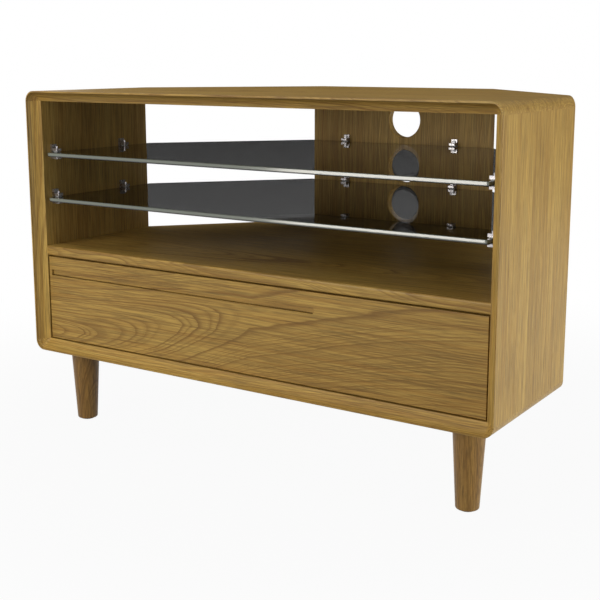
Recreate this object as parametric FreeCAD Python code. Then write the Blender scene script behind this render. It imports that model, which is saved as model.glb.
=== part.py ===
import FreeCAD
import Part
import math
import os

from FreeCAD import Vector

# A corner media cabinet in oak: three open bays with two glass shelves over one wide drawer, on
# four turned legs.  Millimetres.  +Z is up, +X is to the right seen from the front, and the front
# faces -Y.  The origin is on the floor, under the middle of the cabinet's box.

# Overall sizes
width = 1000.0
depth = 632.0
leg_height = 152.0
side_depth = 306.0          # front edge to where a rear corner starts to be cut off
back_width = 416.0          # straight stretch of the back, between the two cut corners

# Boards
board = 20.0                # top, bottom and sides, and the radius of the four outer corners
shelf_board = 19.5
back_board = 18.0
back_board_inset = 2.0      # from the cut plane in to the back panel's ends
corner_board = 9.0
corner_board_inset = 2.0    # from the cut plane in to the corner panel

# Front edge of the frame: a narrow lip, then a cove that falls back to the inner edge
lip_width = 3.0
lip_step = 2.0
cove_depth = 22.0
cove_sag = 2.4
edge_round = 1.2

# Clear heights inside the frame, from the bottom board up
drawer_bay = 172.0
lower_bay = 89.3
middle_bay = 81.4
upper_bay = 100.8

# Middle shelf
shelf_nose_radius = 4.0

# Glass shelves
glass_thickness = 8.0
glass_setback = 23.0
glass_corner_inset = 7.0
glass_corner_radius = 6.0
glass_arris = 1.0

# Clamp clips that hold the glass
clip_plate = 5.0
clip_width = 13.0
clip_reach = 18.0
clip_upper_jaw = 5.5
clip_lower_jaw = 4.5
clip_lug = 8.0
clip_edge = 0.8
clip_pad = 1.5
clip_pad_size = 9.0
clip_glass_gap = 3.0
side_clip_front = 48.0
side_clip_rear = 245.0
back_clip_spread = 266.0
set_screw_radius = 2.0
set_screw_stub = 4.0
set_screw_socket_radius = 1.1
set_screw_socket_depth = 2.5

# Cable holes in the back panel
cable_hole_radius = 38.0
cable_hole_count = 3
cable_hole_offset = 10.0
cable_hole_above_shelf = 40.0
cable_hole_below_top = 49.5
cable_hole_chamfer = 1.5

# Drawer front
drawer_gap = 2.5
drawer_setback = 23.0
drawer_face = 20.0
drawer_face_edge = 1.0

# Routed finger pull in the drawer front
pull_left_margin = 7.0
pull_length = 627.0
pull_below_top = 26.0
pull_height = 12.0
pull_depth = 4.0
pull_end_radius = 5.0
pull_catch_height = 1.5
pull_catch_depth = 9.0

# Drawer box
box_side = 12.0
box_front = 12.0
box_floor = 6.0
box_floor_groove = 6.0
box_floor_lift = 12.0
box_top_gap = 30.0
box_bottom_gap = 12.0
box_rear_gap = 6.0
groove_fit = 0.2

# Ball-bearing runners
runner_space = 12.7
runner_face_gap = 2.0
runner_rear_margin = 11.0
runner_height = 45.0
runner_sheet = 1.2
runner_inner_sheet = 1.0
runner_ball_gap = 3.0
runner_web_gap = 1.4
runner_flange = 8.0
runner_end_gap = 1.0
ball_radius = 1.2
ball_count = 6
cage_thickness = 0.8
cage_width = 5.0
cage_share = 0.45           # of the runner's length
cage_hole_fit = 0.2
runner_screw_count = 3
runner_screw_end = 25.0

# Screws, dowels and bolts
pan_head_radius = 3.4
pan_head_height = 1.0
wood_screw_radius = 1.8
runner_screw_length = 11.0
clip_screw_head_radius = 3.0
clip_screw_length = 14.0
pilot_fit = 0.05
face_screw_radius = 2.0
face_screw_head_radius = 4.0
face_screw_head_height = 2.2
face_screw_bite = 13.0
face_screw_end = 60.0
face_screw_count = 4
dowel_radius = 4.0
dowel_length = 26.0
dowel_fit = 0.1
dowel_edge_margin = 45.0
panel_dowel_depth = 10.0

# Legs
leg_top_radius = 28.5
leg_foot_radius = 20.0
leg_foot_round = 3.0
leg_side_inset = 70.0
leg_front_inset = 67.5
rear_leg_spread = 320.0
rear_leg_inset = 70.0
glide_height = 2.0
glide_radius = 14.0
bolt_radius = 4.0
bolt_in_leg = 38.0
bolt_in_board = 12.0
insert_radius = 6.0
insert_depth = 14.0
insert_flange_radius = 8.0
insert_flange = 1.5
bolt_fit = 0.1

# Places that follow from the sizes above
half_width = width / 2
front = -depth / 2
back = depth / 2
inner_half = half_width - board
frame_bottom = leg_height
inner_floor = frame_bottom + board
shelf_underside = inner_floor + drawer_bay
shelf_top = shelf_underside + shelf_board
lower_glass_top = shelf_top + lower_bay + glass_thickness
upper_glass_top = lower_glass_top + middle_bay + glass_thickness
inner_ceiling = upper_glass_top + upper_bay
height = inner_ceiling + board
inner_edge = front + cove_depth
back_face = back - back_board
cut_start = front + side_depth
cut_run = half_width - back_width / 2
cut_rise = back - cut_start
cut_length = math.hypot(cut_run, cut_rise)
normal_x = cut_rise / cut_length
normal_y = cut_run / cut_length


def corner_y(x, inset=0.0):
    """Where the cut rear corner, moved in by inset, lies at a distance x from the middle."""
    return cut_start + (half_width - x) * cut_rise / cut_run - inset / normal_y


def corner_x(y, inset=0.0):
    """Distance from the middle of the cut rear corner, moved in by inset, at a depth y."""
    return half_width - (y - cut_start) * cut_run / cut_rise - inset / normal_x


def box(x0, x1, y0, y1, z0, z1):
    return Part.makeBox(x1 - x0, y1 - y0, z1 - z0, Vector(x0, y0, z0))


def rod(radius, start, direction, length):
    return Part.makeCylinder(radius, length, Vector(*start), Vector(*direction))


def prism(points, z0, z1):
    corners = [Vector(x, y, z0) for x, y in points]
    outline = Part.makePolygon(corners + corners[:1])
    return Part.Face(outline).extrude(Vector(0, 0, z1 - z0))


def plan(half_x, y0, y1, inset=0.0):
    """Six-sided outline of the cabinet, seen from above."""
    right = [
        (half_x, y0),
        (half_x, corner_y(half_x, inset)),
        (corner_x(y1, inset), y1),
    ]
    left = [(-x, y) for x, y in reversed(right)]
    return right + left


def mirrored(shape):
    return shape.mirror(Vector(0, 0, 0), Vector(1, 0, 0))


def cut_all(shape, tools):
    for tool in tools:
        shape = shape.cut(tool)
    return shape


def only_solid(shape):
    return shape.Solids[0]


def spaced(start, end, count):
    """Evenly spaced values from start to end."""
    return [start + (end - start) * i / (count - 1) for i in range(count)]


# ---------------------------------------------------------------------------- front edge profile


def cove_profile(point):
    """Face of what is taken off the front edge; point(u, v) gives a place from u, the distance
    in from the outer face, and v, the distance back from the front."""
    start = (lip_width, lip_step)
    end = (board, cove_depth)
    span_u = end[0] - start[0]
    span_v = end[1] - start[1]
    chord = math.hypot(span_u, span_v)
    middle = (
        (start[0] + end[0]) / 2 - cove_sag * span_v / chord,
        (start[1] + end[1]) / 2 + cove_sag * span_u / chord,
    )
    clear = -lip_step
    cove = Part.Arc(point(*start), point(*middle), point(*end)).toShape()
    inner = Part.makeLine(point(*end), point(board, clear))
    face = Part.makeLine(point(board, clear), point(lip_width, clear))
    step = Part.makeLine(point(lip_width, clear), point(*start))
    return Part.Face(Part.Wire([cove, inner, face, step]))


def side_cove():
    """Cove cutter for the left side panel."""
    profile = cove_profile(lambda u, v: Vector(-half_width + u, front + v, inner_floor))
    return profile.extrude(Vector(0, 0, inner_ceiling - inner_floor))


def rail_cove():
    """Cove cutter for the top panel: a straight run and a quarter turn round each corner."""
    profile = cove_profile(lambda u, v: Vector(-inner_half, front + v, height - u))
    straight = profile.extrude(Vector(2 * inner_half, 0, 0))
    turned = cove_profile(lambda u, v: Vector(-half_width + u, front + v, inner_ceiling))
    corner = turned.revolve(Vector(-inner_half, front, inner_ceiling), Vector(0, 1, 0), 90)
    return [straight, corner, mirrored(corner)]


# --------------------------------------------------------------------------------------- carcase


def rounded_board():
    """Top board before its front edge is shaped: full width, its two ends rounded over."""
    diagonal = board * math.sqrt(0.5)
    right_low = Vector(half_width, front, inner_ceiling)
    right_round = Vector(inner_half + diagonal, front, inner_ceiling + diagonal)
    right_high = Vector(inner_half, front, height)
    left_high = Vector(-inner_half, front, height)
    left_round = Vector(-inner_half - diagonal, front, inner_ceiling + diagonal)
    left_low = Vector(-half_width, front, inner_ceiling)
    section = [
        Part.makeLine(left_low, right_low),
        Part.Arc(right_low, right_round, right_high).toShape(),
        Part.makeLine(right_high, left_high),
        Part.Arc(left_high, left_round, left_low).toShape(),
    ]
    slab = Part.Face(Part.Wire(section)).extrude(Vector(0, depth, 0))
    return slab.common(prism(plan(half_width, front, back), 0, height))


def front_lip_edges(shape):
    """The outermost edges in the front plane, where the lip is eased."""
    picked = []
    for edge in shape.Edges:
        middle = edge.valueAt((edge.FirstParameter + edge.LastParameter) / 2)
        corner = Vector(inner_half, front, inner_ceiling)
        beside = max(abs(middle.x) - corner.x, 0)
        above = max(middle.z - corner.z, 0)
        on_outside = abs(math.hypot(beside, above) - board) < 0.01
        if abs(middle.y - front) < 0.01 and on_outside:
            picked.append(edge)
    return picked


def top_panel():
    panel = cut_all(rounded_board(), rail_cove())
    return panel.makeFillet(edge_round, front_lip_edges(panel))


def turned_over(shape):
    """The same board mirrored to the underside of the frame."""
    middle = (frame_bottom + height) / 2
    return shape.mirror(Vector(0, 0, middle), Vector(0, 0, 1))


def left_side_panel():
    outline = [
        (-half_width, front),
        (-inner_half, front),
        (-inner_half, corner_y(inner_half)),
        (-half_width, cut_start),
    ]
    panel = prism(outline, inner_floor, inner_ceiling).cut(side_cove())
    lip = [
        edge
        for edge in panel.Edges
        if all(
            abs(v.Point.x + half_width) < 0.01 and abs(v.Point.y - front) < 0.01
            for v in edge.Vertexes
        )
    ]
    return panel.makeFillet(edge_round, lip)


def middle_shelf():
    shelf = prism(plan(inner_half, inner_edge, back_face), shelf_underside, shelf_top)
    nose = [
        edge
        for edge in shelf.Edges
        if all(abs(v.Point.y - inner_edge) < 0.01 for v in edge.Vertexes)
        and abs(edge.Vertexes[0].Point.z - edge.Vertexes[1].Point.z) < 0.01
    ]
    return shelf.makeFillet(shelf_nose_radius, nose)


def back_panel():
    outline = [
        (-corner_x(back_face, back_board_inset), back_face),
        (corner_x(back_face, back_board_inset), back_face),
        (corner_x(back, back_board_inset), back),
        (-corner_x(back, back_board_inset), back),
    ]
    panel = prism(outline, inner_floor, inner_ceiling)
    highest = inner_ceiling - cable_hole_below_top
    for z in spaced(shelf_top + cable_hole_above_shelf, highest, cable_hole_count):
        at = Vector(cable_hole_offset, back_face, z)
        panel = panel.cut(Part.makeCylinder(cable_hole_radius, back_board, at, Vector(0, 1, 0)))
        wide = cable_hole_radius + cable_hole_chamfer
        rim = Part.makeCone(wide, cable_hole_radius, cable_hole_chamfer, at, Vector(0, 1, 0))
        panel = panel.cut(rim)
    return panel


def right_corner_panel():
    """Thin panel that closes one cut rear corner behind the drawer."""
    near = corner_board_inset
    far = corner_board_inset + corner_board
    outline = [
        (inner_half, corner_y(inner_half, near)),
        (corner_x(back_face, near), back_face),
        (corner_x(back_face, far), back_face),
        (inner_half, corner_y(inner_half, far)),
    ]
    return prism(outline, inner_floor, shelf_underside)


# ----------------------------------------------------------------------------------------- dowels


def upright_dowels():
    """Dowels between the side panels and the boards below and above, as start, way and length."""
    pins = []
    length = dowel_length - dowel_fit
    starts = (inner_floor - panel_dowel_depth, inner_ceiling + panel_dowel_depth - length)
    for y in spaced(front + dowel_edge_margin, cut_start - dowel_edge_margin, 3):
        for x in (-inner_half - board / 2, inner_half + board / 2):
            pins += [(Vector(x, y, z), Vector(0, 0, 1), length) for z in starts]
    return pins


def back_dowels():
    """Dowels between the back panel and the boards below and above."""
    length = dowel_length - dowel_fit
    starts = (inner_floor - panel_dowel_depth, inner_ceiling + panel_dowel_depth - length)
    reach = back_width / 2 - dowel_edge_margin
    y = back - back_board / 2
    return [(Vector(x, y, z), Vector(0, 0, 1), length) for x in spaced(-reach, reach, 3) for z in starts]


def shelf_dowels():
    """Dowels between the middle shelf and the side panels."""
    pins = []
    length = dowel_length - dowel_fit
    z = shelf_underside + shelf_board / 2
    for y in spaced(front + dowel_edge_margin, cut_start - dowel_edge_margin, 3):
        pins.append((Vector(-inner_half - panel_dowel_depth, y, z), Vector(1, 0, 0), length))
        pins.append((Vector(inner_half + panel_dowel_depth, y, z), Vector(-1, 0, 0), length))
    return pins


def all_dowels():
    return upright_dowels() + back_dowels() + shelf_dowels()


def dowel_shapes(extra=0.0):
    """The dowels, or with extra the holes that they sit in."""
    shapes = []
    for start, way, length in all_dowels():
        at = start - way * extra
        shapes.append(Part.makeCylinder(dowel_radius + extra, length + 2 * extra, at, way))
    return shapes


# --------------------------------------------------------------------------------- glass and clips


def glass_top_heights():
    return [lower_glass_top, upper_glass_top]


def glass_shelf(top):
    half = inner_half - clip_plate - clip_glass_gap
    rear = back_face - clip_plate - clip_glass_gap
    outline = plan(half, front + glass_setback, rear, glass_corner_inset)
    sheet = prism(outline, top - glass_thickness, top)
    uprights = [e for e in sheet.Edges if abs(e.Vertexes[0].Point.z - e.Vertexes[1].Point.z) > 1]
    sheet = sheet.makeFillet(glass_corner_radius, uprights)
    rims = [e for e in sheet.Edges if abs(e.Vertexes[0].Point.z - e.Vertexes[1].Point.z) < 0.01]
    return sheet.makeChamfer(glass_arris, rims)


def clip_places():
    """Each clip's place on its panel and the turn about Z that points its jaws inwards."""
    places = []
    for y in (front + side_clip_front, front + side_clip_rear):
        places.append((-inner_half, y, 0))
        places.append((inner_half, y, 180))
    for x in (-back_clip_spread / 2, back_clip_spread / 2):
        places.append((x, back_face, -90))
    return places


def at_each_clip(make):
    """Copies of one clip part at every clip of both shelves; make(top) builds it for a clip
    whose panel is the plane x = 0 and whose jaws point along +X."""
    shapes = []
    for top in glass_top_heights():
        for x, y, turn in clip_places():
            part = make(top)
            part.rotate(Vector(0, 0, 0), Vector(0, 0, 1), turn)
            part.translate(Vector(x, y, 0))
            shapes.append(part)
    return shapes


def jaw_bottom(top):
    return top - glass_thickness - clip_pad - clip_lower_jaw


def jaw_top(top):
    return top + clip_pad + clip_upper_jaw


def set_screw_x():
    return (clip_plate + clip_reach) / 2


def lug_screw_z(top):
    return jaw_top(top) + clip_lug / 2


def clip_body(top):
    half = clip_width / 2
    plate = box(0, clip_plate, -half, half, jaw_bottom(top), jaw_top(top) + clip_lug)
    lower = box(clip_plate, clip_reach, -half, half, jaw_bottom(top), jaw_bottom(top) + clip_lower_jaw)
    upper = box(clip_plate, clip_reach, -half, half, jaw_top(top) - clip_upper_jaw, jaw_top(top))
    body = plate.fuse([lower, upper]).removeSplitter()
    ends = [
        e
        for e in body.Edges
        if all(abs(v.Point.x - clip_reach) < 0.01 for v in e.Vertexes)
        or all(abs(v.Point.z - jaw_top(top) - clip_lug) < 0.01 for v in e.Vertexes)
    ]
    body = only_solid(body.makeFillet(clip_edge, ends))
    screw_hole = rod(set_screw_radius + pilot_fit, (set_screw_x(), 0, top), (0, 0, 1), 2 * clip_upper_jaw)
    body = body.cut(screw_hole)
    lug_z = lug_screw_z(top)
    body = body.cut(rod(wood_screw_radius + pilot_fit, (0, 0, lug_z), (1, 0, 0), clip_plate))
    sink = Part.makeCone(
        wood_screw_radius + pilot_fit,
        clip_screw_head_radius + pilot_fit,
        clip_plate / 2,
        Vector(clip_plate / 2, 0, lug_z),
        Vector(1, 0, 0),
    )
    return body.cut(sink)


def clip_set_screw(top):
    length = clip_upper_jaw + set_screw_stub
    screw = rod(set_screw_radius, (set_screw_x(), 0, top + clip_pad), (0, 0, 1), length)
    end = top + clip_pad + length
    socket_floor = (set_screw_x(), 0, end - set_screw_socket_depth)
    socket = rod(set_screw_socket_radius, socket_floor, (0, 0, 1), set_screw_socket_depth)
    return screw.cut(socket)


def clip_wood_screw(top):
    z = lug_screw_z(top)
    shank = rod(wood_screw_radius, (clip_plate - clip_screw_length, 0, z), (1, 0, 0), clip_screw_length)
    head = Part.makeCone(
        wood_screw_radius,
        clip_screw_head_radius,
        clip_plate / 2,
        Vector(clip_plate / 2, 0, z),
        Vector(1, 0, 0),
    )
    return shank.fuse(head).removeSplitter()


def clip_pilot(top):
    length = clip_screw_length - clip_plate + pilot_fit
    return rod(wood_screw_radius + pilot_fit, (-length, 0, lug_screw_z(top)), (1, 0, 0), length)


def clip_pads(top):
    half = clip_pad_size / 2
    x0 = set_screw_x() - half
    x1 = set_screw_x() + half
    above = box(x0, x1, -half, half, top, top + clip_pad)
    below = box(x0, x1, -half, half, top - glass_thickness - clip_pad, top - glass_thickness)
    return Part.makeCompound([above, below])


# ----------------------------------------------------------------------------------------- drawer

face_front = front + drawer_setback
face_back = face_front + drawer_face
face_half = inner_half - drawer_gap
face_low = inner_floor + drawer_gap
face_high = shelf_underside - drawer_gap
box_half = inner_half - runner_space
box_low = inner_floor + box_bottom_gap
box_high = shelf_underside - box_top_gap
box_height = box_high - box_low
box_back = corner_y(box_half, corner_board_inset + corner_board) - box_rear_gap
floor_low = box_low + box_floor_lift
floor_high = floor_low + box_floor


def drawer_front():
    face = box(-face_half, face_half, face_front, face_back, face_low, face_high)
    eased = [e for e in face.Edges if all(abs(v.Point.y - face_front) < 0.01 for v in e.Vertexes)]
    face = face.makeFillet(drawer_face_edge, eased)
    left = -face_half + pull_left_margin
    right = left + pull_length
    high = face_high - pull_below_top
    low = high - pull_height
    hollow = box(left, right, face_front, face_front + pull_depth, low, high)
    ends = [
        e
        for e in hollow.Edges
        if all(abs(v.Point.x - right) < 0.01 for v in e.Vertexes)
        and abs(e.Vertexes[0].Point.z - e.Vertexes[1].Point.z) < 0.01
    ]
    hollow = hollow.makeFillet(pull_end_radius, ends)
    catch_back = face_front + pull_catch_depth
    catch = box(left, right - pull_end_radius, face_front, catch_back, low, low + pull_catch_height)
    return face.cut(hollow).cut(catch)


def drawer_side(sign):
    inner = box_half - box_side
    x0, x1 = sorted((sign * inner, sign * box_half))
    side = box(x0, x1, face_back, box_back, box_low, box_high)
    g0, g1 = sorted((sign * (inner + box_floor_groove), sign * inner))
    groove = box(g0, g1, face_back, box_back, floor_low - groove_fit, floor_high + groove_fit)
    return side.cut(groove)


def drawer_box_front():
    inner = box_half - box_side
    panel = box(-inner, inner, face_back, face_back + box_front, box_low, box_high)
    y0 = face_back + box_front - box_floor_groove
    groove = box(-inner, inner, y0, face_back + box_front, floor_low - groove_fit, floor_high + groove_fit)
    return panel.cut(groove)


def drawer_back():
    inner = box_half - box_side
    panel = box(-inner, inner, box_back - box_side, box_back, box_low, box_high)
    y1 = box_back - box_side + box_floor_groove
    groove = box(-inner, inner, box_back - box_side, y1, floor_low - groove_fit, floor_high + groove_fit)
    return panel.cut(groove)


def drawer_floor():
    half = box_half - box_side + box_floor_groove - groove_fit
    y0 = face_back + box_front - box_floor_groove + groove_fit
    y1 = box_back - box_side + box_floor_groove - groove_fit
    return box(-half, half, y0, y1, floor_low, floor_high)


def face_screw_places():
    reach = box_half - box_side - face_screw_end
    rows = (box_low + box_height / 4, box_high - box_height / 4)
    return [(x, z) for x in spaced(-reach, reach, face_screw_count) for z in rows]


def face_screws(extra=0.0):
    """Screws from inside the drawer box into its front, or with extra their holes."""
    shapes = []
    start = face_back + box_front
    for x, z in face_screw_places():
        length = box_front + face_screw_bite + extra
        shank = rod(face_screw_radius + extra, (x, start, z), (0, -1, 0), length)
        if extra:
            shapes.append(shank)
        else:
            head = rod(face_screw_head_radius, (x, start, z), (0, 1, 0), face_screw_head_height)
            shapes.append(shank.fuse(head).removeSplitter())
    return shapes


# ---------------------------------------------------------------------------------------- runners

runner_start = face_back + runner_face_gap
runner_end = cut_start - runner_rear_margin
runner_length = runner_end - runner_start
runner_middle = box_low + box_height / 2
cage_length = runner_length * cage_share


def channel(web_x, web, flange_to, half_outer, sheet):
    """C-shaped rail on the right-hand side; web_x is the side of the web away from the flanges,
    and flange_to is where the flanges end.  Distances are from the side panel's inner face."""
    way = 1 if flange_to > web_x else -1
    web_end = web_x + way * web
    spans = [
        (min(web_x, web_end), max(web_x, web_end), -half_outer, half_outer),
        (min(web_end, flange_to), max(web_end, flange_to), half_outer - sheet, half_outer),
        (min(web_end, flange_to), max(web_end, flange_to), -half_outer, -half_outer + sheet),
    ]
    pieces = []
    for d0, d1, z0, z1 in spans:
        x0, x1 = inner_half - d1, inner_half - d0
        pieces.append(box(x0, x1, runner_start, runner_end, runner_middle + z0, runner_middle + z1))
    return pieces[0].fuse(pieces[1:]).removeSplitter()


def runner_screw_ys():
    first = runner_start + runner_screw_end
    return spaced(first, runner_end - runner_screw_end, runner_screw_count)


def rail_screw_holes(x):
    """Holes through a rail's web, whose right-hand face is at x."""
    radius = wood_screw_radius + pilot_fit
    return [rod(radius, (x, y, runner_middle), (-1, 0, 0), runner_sheet) for y in runner_screw_ys()]


outer_half = runner_height / 2
middle_half = outer_half - runner_sheet - runner_ball_gap
inner_rail_half = middle_half - runner_inner_sheet - runner_ball_gap
middle_web = runner_sheet + runner_web_gap


def cabinet_rail():
    flange_to = runner_sheet + runner_flange
    rail = channel(0, runner_sheet, flange_to, outer_half, runner_sheet)
    return cut_all(rail, rail_screw_holes(inner_half))


def middle_rail():
    flange_to = middle_web + runner_inner_sheet + runner_flange - runner_end_gap
    return channel(middle_web, runner_inner_sheet, flange_to, middle_half, runner_inner_sheet)


def drawer_rail():
    flange_to = middle_web + runner_inner_sheet + runner_end_gap
    rail = channel(runner_space, runner_sheet, flange_to, inner_rail_half, runner_sheet)
    return cut_all(rail, rail_screw_holes(inner_half - runner_space + runner_sheet))


def runner_screw(seat, way, y, extra=0.0):
    """Pan-head screw through a rail; seat is the rail's face under the head, way the direction
    in which the screw is driven.  With extra it is the pilot hole."""
    shank = rod(wood_screw_radius + extra, (seat, y, runner_middle), (way, 0, 0), runner_screw_length + extra)
    if extra:
        return shank
    head = rod(pan_head_radius, (seat, y, runner_middle), (-way, 0, 0), pan_head_height)
    return shank.fuse(head).removeSplitter()


def cabinet_screw_shapes(extra=0.0):
    seat = inner_half - runner_sheet
    right = [runner_screw(seat, 1, y, extra) for y in runner_screw_ys()]
    return right + [mirrored(s) for s in right]


def drawer_screw_shapes(extra=0.0):
    seat = inner_half - runner_space + runner_sheet
    right = [runner_screw(seat, -1, y, extra) for y in runner_screw_ys()]
    return right + [mirrored(s) for s in right]


def ball_cage(race, distance):
    """Two strips with their balls, above and below one rail.  race is the height of the race's
    middle from the runner's, and distance how far the strips lie from the side panel.  At rest
    the cage is half way along, so that it stays between its two rails over the whole travel."""
    start = runner_start + (runner_length - cage_length) / 2
    x = inner_half - distance
    shapes = []
    for z in (runner_middle - race, runner_middle + race):
        low, high = z - cage_thickness / 2, z + cage_thickness / 2
        strip = box(x - cage_width / 2, x + cage_width / 2, start, start + cage_length, low, high)
        for y in spaced(start + cage_width, start + cage_length - cage_width, ball_count):
            strip = strip.cut(rod(ball_radius + cage_hole_fit, (x, y, low), (0, 0, 1), cage_thickness))
            shapes.append(Part.makeSphere(ball_radius, Vector(x, y, z)))
        shapes.append(strip)
    return shapes


def outer_cage():
    middle_flange_start = middle_web + runner_inner_sheet
    outer_flange_end = runner_sheet + runner_flange
    race = middle_half + runner_ball_gap / 2
    return ball_cage(race, (middle_flange_start + outer_flange_end) / 2)


def inner_cage():
    drawer_flange_end = middle_web + runner_inner_sheet + runner_end_gap
    middle_flange_end = middle_web + runner_inner_sheet + runner_flange - runner_end_gap
    race = inner_rail_half + runner_ball_gap / 2
    return ball_cage(race, (drawer_flange_end + middle_flange_end) / 2)


# ------------------------------------------------------------------------------------------- legs


def leg_places():
    side = half_width - leg_side_inset
    return [
        (-side, front + leg_front_inset),
        (side, front + leg_front_inset),
        (-rear_leg_spread / 2, back - rear_leg_inset),
        (rear_leg_spread / 2, back - rear_leg_inset),
    ]


def leg(x, y):
    base = Vector(x, y, glide_height)
    post = Part.makeCone(leg_foot_radius, leg_top_radius, frame_bottom - glide_height, base)
    foot = [e for e in post.Edges if all(abs(v.Point.z - glide_height) < 0.01 for v in e.Vertexes)]
    post = post.makeFillet(leg_foot_round, foot)
    return post.cut(leg_bolt(x, y, bolt_fit))


def leg_glide(x, y):
    return rod(glide_radius, (x, y, 0), (0, 0, 1), glide_height)


def leg_bolt(x, y, extra=0.0):
    """Hanger bolt from the leg up into the cabinet, or with extra the hole round it."""
    start = frame_bottom - bolt_in_leg - extra
    return rod(bolt_radius + extra, (x, y, start), (0, 0, 1), bolt_in_leg + bolt_in_board + 2 * extra)


def leg_insert(x, y, extra=0.0):
    """Flanged insert let into the cabinet's underside, or with extra its recess."""
    sleeve = rod(insert_radius + extra, (x, y, frame_bottom), (0, 0, 1), insert_depth + extra)
    flange = rod(insert_flange_radius + extra, (x, y, frame_bottom), (0, 0, 1), insert_flange + extra)
    whole = sleeve.fuse(flange).removeSplitter()
    if extra:
        return whole
    return whole.cut(leg_bolt(x, y, bolt_fit))


# ------------------------------------------------------------------------------------------ nodes

dowel_holes = dowel_shapes(dowel_fit)
clip_holes = at_each_clip(clip_pilot)
side_holes = dowel_holes + clip_holes + cabinet_screw_shapes(pilot_fit)
insert_recesses = [leg_insert(x, y, bolt_fit) for x, y in leg_places()]
drawer_pilots = drawer_screw_shapes(pilot_fit)
drawer_screw_holes = face_screws(pilot_fit)
bare_top = top_panel()
left_side = left_side_panel()
right_corner = right_corner_panel()
group = Part.makeCompound

nodes = {
    "top_panel": cut_all(bare_top, dowel_holes),
    "bottom_panel": cut_all(turned_over(bare_top), dowel_holes + insert_recesses),
    "left_side_panel": cut_all(left_side, side_holes),
    "right_side_panel": cut_all(mirrored(left_side), side_holes),
    "middle_shelf": cut_all(middle_shelf(), dowel_holes),
    "back_panel": cut_all(back_panel(), dowel_holes + clip_holes),
    "left_corner_panel": mirrored(right_corner),
    "right_corner_panel": right_corner,
    "dowels": group(dowel_shapes()),
    "lower_glass_shelf": glass_shelf(lower_glass_top),
    "upper_glass_shelf": glass_shelf(upper_glass_top),
    "glass_clips": group(at_each_clip(clip_body)),
    "clip_pads": group(at_each_clip(clip_pads)),
    "clip_set_screws": group(at_each_clip(clip_set_screw)),
    "clip_wood_screws": group(at_each_clip(clip_wood_screw)),
    "drawer_front": cut_all(drawer_front(), drawer_screw_holes),
    "drawer_box_front": cut_all(drawer_box_front(), drawer_screw_holes),
    "drawer_left_side": cut_all(drawer_side(-1), drawer_pilots),
    "drawer_right_side": cut_all(drawer_side(1), drawer_pilots),
    "drawer_back": drawer_back(),
    "drawer_floor": drawer_floor(),
    "drawer_front_screws": group(face_screws()),
    "right_cabinet_rail": cabinet_rail(),
    "right_middle_rail": middle_rail(),
    "right_drawer_rail": drawer_rail(),
    "right_outer_ball_cages": group(outer_cage()),
    "right_inner_ball_cages": group(inner_cage()),
    "cabinet_rail_screws": group(cabinet_screw_shapes()),
    "drawer_rail_screws": group(drawer_screw_shapes()),
    "leg_bolts": group([leg_bolt(x, y) for x, y in leg_places()]),
    "leg_inserts": group([leg_insert(x, y) for x, y in leg_places()]),
    "leg_glides": group([leg_glide(x, y) for x, y in leg_places()]),
}
for name in ("cabinet_rail", "middle_rail", "drawer_rail", "outer_ball_cages", "inner_ball_cages"):
    nodes["left_" + name] = mirrored(nodes["right_" + name])
leg_names = ("front_left_leg", "front_right_leg", "rear_left_leg", "rear_right_leg")
for name, place in zip(leg_names, leg_places()):
    nodes[name] = leg(*place)

os.makedirs("parts", exist_ok=True)
for name, shape in nodes.items():
    shape.exportStep("parts/" + name + ".step")
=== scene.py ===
import math

import bmesh
import bpy
from mathutils import Matrix, Vector


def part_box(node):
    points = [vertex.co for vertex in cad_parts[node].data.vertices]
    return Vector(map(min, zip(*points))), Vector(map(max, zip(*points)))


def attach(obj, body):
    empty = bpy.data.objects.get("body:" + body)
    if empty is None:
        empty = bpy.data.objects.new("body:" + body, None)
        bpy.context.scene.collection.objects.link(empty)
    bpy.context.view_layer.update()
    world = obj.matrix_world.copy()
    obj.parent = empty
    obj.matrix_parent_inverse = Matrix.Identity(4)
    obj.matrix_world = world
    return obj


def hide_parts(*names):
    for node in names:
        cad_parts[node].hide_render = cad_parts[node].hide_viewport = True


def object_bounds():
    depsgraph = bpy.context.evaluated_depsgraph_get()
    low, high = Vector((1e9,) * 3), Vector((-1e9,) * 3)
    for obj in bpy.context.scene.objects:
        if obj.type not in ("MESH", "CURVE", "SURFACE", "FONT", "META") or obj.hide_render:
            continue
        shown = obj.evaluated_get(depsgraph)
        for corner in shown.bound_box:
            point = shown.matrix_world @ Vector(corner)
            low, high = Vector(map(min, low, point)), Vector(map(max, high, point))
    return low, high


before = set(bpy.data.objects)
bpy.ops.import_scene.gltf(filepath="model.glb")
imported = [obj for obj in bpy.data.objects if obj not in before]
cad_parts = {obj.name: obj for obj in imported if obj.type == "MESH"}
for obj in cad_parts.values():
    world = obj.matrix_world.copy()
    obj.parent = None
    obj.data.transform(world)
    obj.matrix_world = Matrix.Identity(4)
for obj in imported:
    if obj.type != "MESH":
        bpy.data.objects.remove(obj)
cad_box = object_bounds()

# A corner media cabinet in lacquered oak with smoked glass shelves, chrome clamp clips and one
# wide drawer.  Metres, +Z up, the front faces -Y.

MM = 0.001

# ------------------------------------------------------------------------------- small helpers


def linear(hex_colour):
    """An sRGB hex colour as the linear colour that a socket takes."""
    channels = [int(hex_colour[i:i + 2], 16) / 255 for i in (1, 3, 5)]
    return tuple(c / 12.92 if c <= 0.04045 else ((c + 0.055) / 1.055) ** 2.4 for c in channels) + (1,)


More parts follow.
